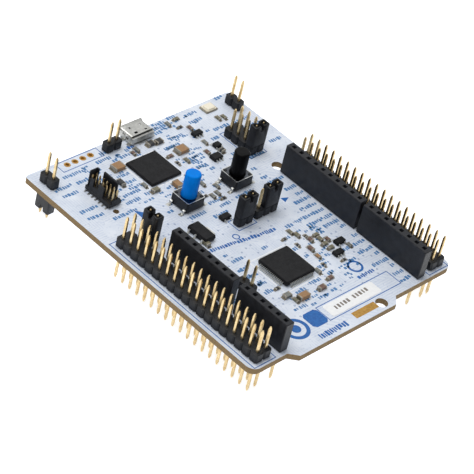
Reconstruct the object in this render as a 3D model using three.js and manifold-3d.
// A microcontroller development board, built from the pieces it comes apart into.
// Millimetres, +Z up. The origin is the middle of the footprint, on the surface that the
// pin tails stand on. +Y points to the edge with the USB socket, and +X to the side with
// the 8-way and 10-way sockets. Inside the board group, y = 0 is the first row of the long
// headers and z = 0 is the upper face of the circuit board.
import * as THREE from 'three';
import { mergeVertices } from 'three/addons/utils/BufferGeometryUtils.js';
import Module from 'manifold-3d';

const wasm = await Module();
wasm.setup();

// Driving dimensions
const PITCH = 2.54;
const BOARD_W = 70;
const BOARD_L = 82.5;
const BOARD_T = 1.6;
const USB_OVERHANG = 0.75;
const FRONT_TO_ROW = 4.85;
const TAB_DEPTH = 2.2;
const TAB_X = [-21.6, 11.7];
const FRONT_CORNER_R = 2.4;
const REAR_CORNER_R = 1;
const MOUNT_HOLE_R = 1.6;
const MOUNT_HOLES = [[8.89, -PITCH], [24.13, 19 * PITCH]];
const TOOLING_HOLE = { x: -24.3, y: 56, r: 0.8 };
const SPARE_PAD_HOLES = { x: -9 * PITCH, y: 75.75, count: 4, r: 0.5 };

const PIN = 0.64;
const PIN_HOLE = 0.94;
const TAIL_LONG = 8.06;
const TAIL_SHORT = 1.4;
const TOP_LONG = 8.94;
const TOP_SHORT = 8.7;
const BASE_H = 2.54;
const SEAT_GAP = 0.1;
const NOTCH = 0.45;
const WEB_Z = [0.3, 0.55];
const POCKET_RIM = 1.5;

const SOCKET = { w: 2.5, h: 8.5, end: 0.35, hole: 1, groove: 1.7, grooveTop: 0.9 };
const FORK = { offset: 0.35, t: 0.12, w: 0.6, z: [0.5, 5.5], carrier: 1, carrierZ: [0.3, 0.6] };

const CAP = { w: 2.44, l: 5, h: 6.06, cleft: 0.9, cleftDepth: 1.6, wall: 0.3, roof: 2.2 };
const CLIP = { w: 1.6, l: 4.2, h: 3, t: 0.25, z: 0.4 };

// Push buttons. The profiles are radius and height
const BUTTON = { side: 6, top: 2.95, foot: 0.35, wellR: 2.7, wellFloor: 1, bore: 4.3, reach: 6 };
const STAKE = { at: 2.2, r: 0.4, hole: 0.5, root: 0.5, rise: 0.45, sides: 12 };
const COVER = { side: 5.8, z: [0.06, 0.26] };
const FOOT = { w: 0.7, pitch: 4.5, bridge: 1, z: [0.05, 0.2] };
const PLUNGER_PROFILE = [[0, 1.95], [2.5, 1.95], [2.5, 2.65], [2, 2.65], [2, 9.65], [1.75, 9.9],
  [0, 9.9]];
const DOME_PROFILE = [[0, 1.45], [1.6, 1.3], [2.3, 1.1], [2.3, 1.2], [1.6, 1.42], [0, 1.6]];

const USB = { w: 7.5, l: 5.3, wall: 0.3, z: [0.05, 2.5], step: { y: 1.5, z: 2.05 },
  core: { w: 5.8, y: [0.4, 1.6], z: [0.45, 1.95] }, tongue: { w: 3.8, y: [1.5, 4.7], z: [1.1, 1.6] } };

const SHROUD = { x: -23.5, y: 61.9, w: 3.9, l: 9, floorZ: [0.35, 1.5], wall: 0.55,
  near: { y: [-1.7, 3.3], top: 4.4 }, far: { y: [-2.6, 2.4], top: 5.5 },
  key: { y: [0.4, 2], z: 2.6 }, endPost: { w: 1.8, y: [4.12, 4.5], top: 5.7 } };
const FINE = { pitch: PITCH / 2, rows: 7, pin: 0.4, hole: 0.6, tip: 4.6, feet: 5.4,
  strap: { w: 0.6, l: 8 }, footZ: [0.05, 0.2] };

const PROBE = { x: -5.3, y: 63.3, side: 10, z: [0.1, 0.95] };
const CHIP = { x: -2.65, y: 18.8, side: 10, foot: 0.15, top: 1.55, neck: 5, slotZ: [0.7, 1],
  ring: [6, 9.2], frameZ: [0.77, 0.92], leads: 16, pitch: 0.5, leadW: 0.22 };
const LEAD_PROFILE = [[4.4, 0.92], [5.35, 0.92], [5.5, 0.2], [6, 0.2], [6, 0.05], [5.37, 0.05],
  [5.22, 0.77], [4.4, 0.77]];
const REGULATOR = { x: -12.3, y: 38.6, w: 3.5, l: 6.5, z: [0.15, 1.7],
  tunnel: { l: 5.4, z: [0.8, 1.15] }, frame: { w: 3, l: 5.1 }, knee: [2, 2.2], reach: 3.4,
  leg: { w: 0.5, pitch: 2.3 }, tab: 3, frameZ: [0.87, 1.07], footZ: [0.05, 0.25] };

const FIRST_ROW_Y = FRONT_TO_ROW - (BOARD_L + USB_OVERHANG) / 2;
const BOARD_TOP = TAIL_LONG + BOARD_T;
const REAR_Y = BOARD_L - FRONT_TO_ROW;

// Pin headers: middle x and y, columns along X, rows along Y
const HEADERS = [
  { name: 'left_header', x: -30.48, y: 9 * PITCH, nx: 2, ny: 19, long: true },
  { name: 'right_header', x: 30.48, y: 9 * PITCH, nx: 2, ny: 19, long: true },
  { name: 'rear_left_header', x: -31.75, y: 28.5 * PITCH, nx: 1, ny: 2, long: true },
  { name: 'rear_right_header', x: 31.75, y: 28.5 * PITCH, nx: 1, ny: 2, long: true },
  { name: 'usb_side_header', x: -8.89, y: 75.1, nx: 2, ny: 1 },
  { name: 'supply_header', x: 22.86, y: 23.5 * PITCH, nx: 2, ny: 4 },
  { name: 'reference_header', x: -24.8, y: 44, nx: 1, ny: 2 },
  { name: 'boot_header', x: 0.2, y: 14.5 * PITCH, nx: 2, ny: 1 },
  { name: 'clock_header', x: 7.5, y: 14.5 * PITCH, nx: 3, ny: 1 },
  { name: 'current_header', x: -16.9, y: 18.3, nx: 1, ny: 2 },
];

// Socket strips: x, y of the first hole, number of ways along Y
const SOCKETS = [
  { name: 'left_socket_6way', x: -9.5 * PITCH, y: 0, n: 6 },
  { name: 'left_socket_8way', x: -9.5 * PITCH, y: 7 * PITCH, n: 8 },
  { name: 'right_socket_8way', x: 9.5 * PITCH, y: 0, n: 8 },
  { name: 'right_socket_10way', x: 9.5 * PITCH, y: 8.6 * PITCH, n: 10 },
];

// Jumper caps: middle of the two pins each one bridges, the pins' direction and the side
const CAPS = [
  { name: 'reference_jumper', x: -24.8, y: 44, along: 'y' },
  { name: 'boot_jumper', x: 0.2, y: 14.5 * PITCH, along: 'x' },
  { name: 'clock_jumper', x: 7.5 + PITCH / 2, y: 14.5 * PITCH, along: 'x' },
  { name: 'supply_jumper', x: 22.86, y: 22 * PITCH, along: 'x' },
  { name: 'spare_jumper_left', x: -31.75, y: 28.5 * PITCH, along: 'y', under: true },
  { name: 'spare_jumper_right', x: 31.75, y: 28.5 * PITCH, along: 'y', under: true },
];

const finish = (color, roughness, metalness) =>
  new THREE.MeshStandardMaterial({ color, roughness, metalness });
const SOLDER_MASK = finish(0xe8edf6, 0.45, 0);
const BLACK = finish(0x25272a, 0.55, 0);
const CHIP_BLACK = finish(0x2a2b2c, 0.6, 0);
const GOLD = finish(0xd8c07c, 0.3, 1);
const STEEL = finish(0xc9cbcd, 0.3, 1);
const TIN = finish(0xd2d3d2, 0.35, 1);
const BLUE = finish(0x0a6fd8, 0.4, 0);

// A closed geometry as a solid that can be joined and cut
function solid(geometry) {
  const bare = geometry.index ? geometry.toNonIndexed() : geometry.clone();
  bare.deleteAttribute('normal');
  bare.deleteAttribute('uv');
  const merged = mergeVertices(bare, 1e-5);
  const vertProperties = new Float32Array(merged.attributes.position.array);
  const triVerts = new Uint32Array(merged.index.array);
  return new wasm.Manifold(new wasm.Mesh({ numProp: 3, vertProperties, triVerts }));
}

function geometryOf(body) {
  const { vertProperties, triVerts } = body.getMesh();
  const geometry = new THREE.BufferGeometry();
  geometry.setAttribute('position', new THREE.BufferAttribute(vertProperties, 3));
  geometry.setIndex(new THREE.BufferAttribute(triVerts, 1));
  geometry.computeVertexNormals();
  return geometry;
}

const join = (bodies) => bodies.reduce((a, b) => a.add(b));
const range = (n) => [...Array(n).keys()];
const centred = (n, pitch) => range(n).map((i) => (i - (n - 1) / 2) * pitch);

// A box between two corners
function block([x0, y0, z0], [x1, y1, z1]) {
  const box = new THREE.BoxGeometry(x1 - x0, y1 - y0, z1 - z0);
  return solid(box.translate((x0 + x1) / 2, (y0 + y1) / 2, (z0 + z1) / 2));
}

// A box w by l about the point x, y, between two heights
const post = (x, y, w, l, z0, z1) =>
  block([x - w / 2, y - l / 2, z0], [x + w / 2, y + l / 2, z1]);

function drum(x, y, r, z0, z1, sides = 24) {
  const cylinder = new THREE.CylinderGeometry(r, r, z1 - z0, sides).rotateX(Math.PI / 2);
  return solid(cylinder.translate(x, y, (z0 + z1) / 2));
}

function piece(name, body, material) {
  const mesh = new THREE.Mesh(geometryOf(body), material);
  mesh.name = name;
  return mesh;
}

function placed(x, y, z, ...meshes) {
  const group = new THREE.Group();
  group.position.set(x, y, z);
  group.add(...meshes);
  return group;
}

const pinPlaces = ({ x, y, nx, ny }) =>
  centred(nx, PITCH).flatMap((dx) => centred(ny, PITCH).map((dy) => [x + dx, y + dy]));
const wayPlaces = ({ x, y, n }) => range(n).map((i) => [x, y + i * PITCH]);

// The circuit board: an outline with a shallow tab at the front, and every drilled hole
function circuitBoard() {
  const side = BOARD_W / 2;
  const tabY = -FRONT_TO_ROW;
  const frontY = tabY + TAB_DEPTH;
  const f = FRONT_CORNER_R;
  const r = REAR_CORNER_R;
  const outline = new THREE.Shape();
  outline.moveTo(-side + f, frontY);
  outline.lineTo(TAB_X[0] - TAB_DEPTH, frontY);
  outline.lineTo(TAB_X[0], tabY);
  outline.lineTo(TAB_X[1], tabY);
  outline.lineTo(TAB_X[1] + TAB_DEPTH, frontY);
  outline.lineTo(side - f, frontY);
  outline.absarc(side - f, frontY + f, f, -Math.PI / 2, 0, false);
  outline.lineTo(side, REAR_Y - r);
  outline.absarc(side - r, REAR_Y - r, r, 0, Math.PI / 2, false);
  outline.lineTo(-side + r, REAR_Y);
  outline.absarc(-side + r, REAR_Y - r, r, Math.PI / 2, Math.PI, false);
  outline.lineTo(-side, frontY + f);
  outline.absarc(-side + f, frontY + f, f, Math.PI, 1.5 * Math.PI, false);
  const plate = new THREE.ExtrudeGeometry(outline,
    { depth: BOARD_T, bevelEnabled: false, curveSegments: 5 }).translate(0, 0, -BOARD_T);
  const pins = [...HEADERS.flatMap(pinPlaces), ...SOCKETS.flatMap(wayPlaces)];
  const spares = range(SPARE_PAD_HOLES.count).map((i) => SPARE_PAD_HOLES.x + i * PITCH);
  const [over, under] = [1, -BOARD_T - 1];
  const drilled = join([
    ...pins.map(([x, y]) => post(x, y, PIN_HOLE, PIN_HOLE, under, over)),
    ...MOUNT_HOLES.map(([x, y]) => drum(x, y, MOUNT_HOLE_R, under, over)),
    ...spares.map((x) => drum(x, SPARE_PAD_HOLES.y, SPARE_PAD_HOLES.r, under, over, 10)),
    drum(TOOLING_HOLE.x, TOOLING_HOLE.y, TOOLING_HOLE.r, under, over, 12)]);
  return piece('circuit_board', solid(plate).subtract(drilled), SOLDER_MASK);
}

// The outline of a header base: one cell for each pin, with a notch between cells
function cellOutline(nx, ny) {
  const points = [];
  const sides = [[nx, ny, 0], [ny, nx, 1], [nx, ny, 2], [ny, nx, 3]];
  for (const [along, across, turn] of sides) {
    const far = (-across * PITCH) / 2;
    for (const [i, middle] of centred(along, PITCH).entries()) {
      points.push([turn, middle - PITCH / 2 + NOTCH, far], [turn, middle + PITCH / 2 - NOTCH, far]);
      if (i < along - 1) points.push([turn, middle + PITCH / 2, far + NOTCH]);
    }
  }
  return points.map(([turn, u, v]) =>
    new THREE.Vector2(u, v).rotateAround(new THREE.Vector2(), (turn * Math.PI) / 2));
}

// A pin header: the moulded base, and its pins joined by a thin web hidden under the base
function pinHeader(header) {
  const { name, x, y, nx, ny, long } = header;
  const pins = pinPlaces({ ...header, x: 0, y: 0 });
  const moulding = new THREE.ExtrudeGeometry(new THREE.Shape(cellOutline(nx, ny)),
    { depth: BASE_H - SEAT_GAP, bevelEnabled: false }).translate(0, 0, SEAT_GAP);
  const pocket = post(0, 0, nx * PITCH - POCKET_RIM, ny * PITCH - POCKET_RIM, 0,
    WEB_Z[1] + SEAT_GAP);
  const holes = join(pins.map(([px, py]) => post(px, py, PIN_HOLE, PIN_HOLE, 0, BASE_H + 1)));
  const web = post(0, 0, (nx - 1) * PITCH + PIN, (ny - 1) * PITCH + PIN, ...WEB_Z);
  const foot = -BOARD_T - (long ? TAIL_LONG : TAIL_SHORT);
  const tip = long ? TOP_LONG : TOP_SHORT;
  const comb = join([web, ...pins.map(([px, py]) => post(px, py, PIN, PIN, foot, tip))]);
  return placed(x, y, 0,
    piece(`${name}_base`, solid(moulding).subtract(pocket.add(holes)), BLACK),
    piece(`${name}_pins`, comb, GOLD));
}

// A socket strip: the housing, and its forked contacts with long tails on one carrier
function socketStrip({ name, x, y, n }) {
  const span = (n - 1) * PITCH;
  const middle = span / 2;
  const ways = wayPlaces({ x: 0, y: 0, n });
  const housing = post(0, middle, SOCKET.w, n * PITCH + 2 * SOCKET.end, SEAT_GAP, SOCKET.h);
  const groove = post(0, middle, SOCKET.groove, span + SOCKET.groove, 0, SOCKET.grooveTop);
  const holes = join(ways.map(([, wy]) => post(0, wy, SOCKET.hole, SOCKET.hole, 0, SOCKET.h + 1)));
  const carrier = post(0, middle, FORK.carrier, span + FORK.carrier, ...FORK.carrierZ);
  const contact = ([, wy]) => join([
    post(0, wy, PIN, PIN, -BOARD_T - TAIL_LONG, FORK.z[0]),
    ...[-1, 1].map((s) => post(s * FORK.offset, wy, FORK.t, FORK.w, ...FORK.z))]);
  return placed(x, y, 0,
    piece(name, housing.subtract(groove.add(holes)), BLACK),
    piece(`${name}_contacts`, join([carrier, ...ways.map(contact)]), GOLD));
}

// A jumper cap: a hollow shell cleft at the top, and the spring clip that grips two pins
function jumperCap({ name, x, y, along, under }) {
  const { w, l, h, cleft, cleftDepth, wall, roof } = CAP;
  const cavity = post(0, 0, w - 2 * wall, l - 2 * wall, -1, h - roof);
  const cut = post(0, 0, w + 1, cleft, h - cleftDepth, h + 1);
  const bores = join(centred(2, PITCH).map((d) => post(0, d, PIN_HOLE, PIN_HOLE, 0, h + 1)));
  const shell = post(0, 0, w, l, 0, h).subtract(join([cavity, cut, bores]));
  const { t, z } = CLIP;
  const band = post(0, 0, CLIP.w, CLIP.l, z, z + CLIP.h);
  const clip = band.subtract(post(0, 0, CLIP.w - 2 * t, CLIP.l - 2 * t, 0, 1 + CLIP.h));
  const cap = placed(x, y, under ? -BOARD_T - SEAT_GAP : BASE_H + SEAT_GAP,
    piece(name, shell, BLACK), piece(`${name}_clip`, clip, TIN));
  cap.rotation.set(under ? Math.PI : 0, 0, along === 'x' ? Math.PI / 2 : 0);
  return cap;
}

// A push button: moulded base, steel cover, plunger, snap dome and the four soldered feet
function pushButton(name, x, y, colour) {
  const { side, top, foot, wellR, wellFloor, bore, reach } = BUTTON;
  const corners = [[-STAKE.at, STAKE.at], [STAKE.at, -STAKE.at]];
  const stakes = join(corners.map(([px, py]) =>
    drum(px, py, STAKE.r, top - STAKE.root, top + STAKE.rise, STAKE.sides)));
  const base = post(0, 0, side, side, foot, top).subtract(drum(0, 0, wellR, wellFloor, top + 1));
  const openings = join([drum(0, 0, bore / 2, top, top + 1),
    ...corners.map(([px, py]) => drum(px, py, STAKE.hole, top, top + 1, STAKE.sides))]);
  const cover = post(0, 0, COVER.side, COVER.side, top + COVER.z[0], top + COVER.z[1]);
  const lathe = (profile) => solid(new THREE.LatheGeometry(
    profile.map(([r, z]) => new THREE.Vector2(r, z)), 24).rotateX(Math.PI / 2));
  const feet = join([post(0, 0, FOOT.bridge, reach - FOOT.bridge, ...FOOT.z),
    ...centred(2, FOOT.pitch).map((dy) => post(0, dy, reach + 2, FOOT.w, ...FOOT.z))]);
  return placed(x, y, 0,
    piece(`${name}_base`, base.add(stakes), BLACK),
    piece(`${name}_cover`, cover.subtract(openings), STEEL),
    piece(`${name}_plunger`, lathe(PLUNGER_PROFILE), colour),
    piece(`${name}_dome`, lathe(DOME_PROFILE), STEEL),
    piece(`${name}_terminals`, feet, TIN));
}

// The micro USB socket: a folded steel shell open to the rear, and the tongue inside it
function usbSocket() {
  const { w, l, wall, z: [z0, z1], step, core, tongue } = USB;
  const cavity = block([-w / 2 + wall, -l / 2 + wall, z0 + wall], [w / 2 - wall, l, z1 - wall]);
  const stepCut = block([-w, -l, step.z], [w, -l / 2 + step.y, z1 + 1]);
  const shell = post(0, 0, w, l, z0, z1).subtract(cavity.add(stepCut));
  const rear = block([-core.w / 2, -l / 2 + core.y[0], core.z[0]],
    [core.w / 2, -l / 2 + core.y[1], core.z[1]]);
  const blade = block([-tongue.w / 2, -l / 2 + tongue.y[0], tongue.z[0]],
    [tongue.w / 2, -l / 2 + tongue.y[1], tongue.z[1]]);
  return placed(0, REAR_Y + USB_OVERHANG - l / 2, 0,
    piece('usb_shell', shell, STEEL), piece('usb_tongue', rear.add(blade), BLACK));
}

// The fine-pitch debug header: a keyed housing, and its pins with their soldered feet
function debugHeader() {
  const { x, y, w, l, floorZ, wall, near, far, key, endPost } = SHROUD;
  const floor = block([-w / 2, -l / 2, floorZ[0]], [w / 2, l / 2, floorZ[1]]);
  const nearWall = block([-w / 2, near.y[0], 1], [-w / 2 + wall, near.y[1], near.top]);
  const farWall = block([w / 2 - wall, far.y[0], 1], [w / 2, far.y[1], far.top]);
  const end = block([-endPost.w / 2, endPost.y[0], 1], [endPost.w / 2, endPost.y[1], endPost.top]);
  const slot = block([-w, key.y[0], key.z], [0, key.y[1], far.top]);
  const places = centred(2, FINE.pitch).flatMap((dx) =>
    centred(FINE.rows, FINE.pitch).map((dy) => [dx, dy]));
  const holes = join(places.map(([px, py]) => post(px, py, FINE.hole, FINE.hole, 0, 2)));
  const housing = join([floor, nearWall, farWall, end]).subtract(holes.add(slot));
  const feet = centred(FINE.rows, FINE.pitch).map((dy) =>
    post(0, dy, FINE.feet, FINE.pin, ...FINE.footZ));
  const pins = places.map(([px, py]) => post(px, py, FINE.pin, FINE.pin, FINE.footZ[0], FINE.tip));
  const strap = post(0, 0, FINE.strap.w, FINE.strap.l, ...FINE.footZ);
  return placed(x, y, 0,
    piece('debug_header_housing', housing, BLACK),
    piece('debug_header_pins', join([strap, ...feet, ...pins]), GOLD));
}

// The main chip: a square body with a slot round it, and the lead frame held in the slot
function mainChip() {
  const { x, y, side, foot, top, neck, slotZ, ring, frameZ, leads, pitch, leadW } = CHIP;
  const outer = side + 1;
  const slot = post(0, 0, outer, outer, ...slotZ).subtract(post(0, 0, neck, neck, 0, top));
  const frame = post(0, 0, ring[1], ring[1], ...frameZ)
    .subtract(post(0, 0, ring[0], ring[0], 0, top));
  const bend = new THREE.Shape(LEAD_PROFILE.map(([u, v]) => new THREE.Vector2(u, v)));
  const leadAt = (quarter, along) => {
    const lead = new THREE.ExtrudeGeometry(bend, { depth: leadW, bevelEnabled: false });
    lead.rotateX(Math.PI / 2).translate(0, along + leadW / 2, 0).rotateZ((quarter * Math.PI) / 2);
    return solid(lead);
  };
  const all = range(4).flatMap((s) => centred(leads, pitch).map((along) => leadAt(s, along)));
  return placed(x, y, 0,
    piece('main_chip', post(0, 0, side, side, foot, top).subtract(slot), CHIP_BLACK),
    piece('main_chip_leads', join([frame, ...all]), TIN));
}

// The voltage regulator: its body, and the frame with three leads and the heat tab
function regulator() {
  const { x, y, w, l, z, tunnel, frame, knee, reach, leg, tab, frameZ, footZ } = REGULATOR;
  const body = post(0, 0, w, l, ...z).subtract(post(0, 0, 2 * w, tunnel.l, ...tunnel.z));
  const run = (from, to, y0, width, z0, z1) => block([Math.min(from, to), y0 - width / 2, z0],
    [Math.max(from, to), y0 + width / 2, z1]);
  const lead = (y0, width, s) => join([run(0, knee[1] * s, y0, width, ...frameZ),
    run(knee[0] * s, knee[1] * s, y0, width, footZ[0], frameZ[1]),
    run(knee[0] * s, reach * s, y0, width, ...footZ)]);
  const leads = join([post(0, 0, frame.w, frame.l, ...frameZ), lead(0, tab, 1),
    ...centred(3, leg.pitch).map((dy) => lead(dy, leg.w, -1))]);
  return placed(x, y, 0,
    piece('regulator', body, CHIP_BLACK), piece('regulator_leads', leads, TIN));
}

// The probe chip: a flat square body that stands on pads hidden below it
function probeChip() {
  const { x, y, side, z } = PROBE;
  return placed(x, y, 0, piece('probe_chip', post(0, 0, side, side, ...z), CHIP_BLACK));
}

const board = placed(0, FIRST_ROW_Y, BOARD_TOP,
  circuitBoard(),
  ...HEADERS.map(pinHeader),
  ...SOCKETS.map(socketStrip),
  ...CAPS.map(jumperCap),
  pushButton('user_button', -7.2, 49.1, BLUE),
  pushButton('reset_button', 9.6, 49.1, BLACK),
  usbSocket(),
  debugHeader(),
  probeChip(),
  mainChip(),
  regulator());

const part = new THREE.Group();
part.add(board);
export default part;
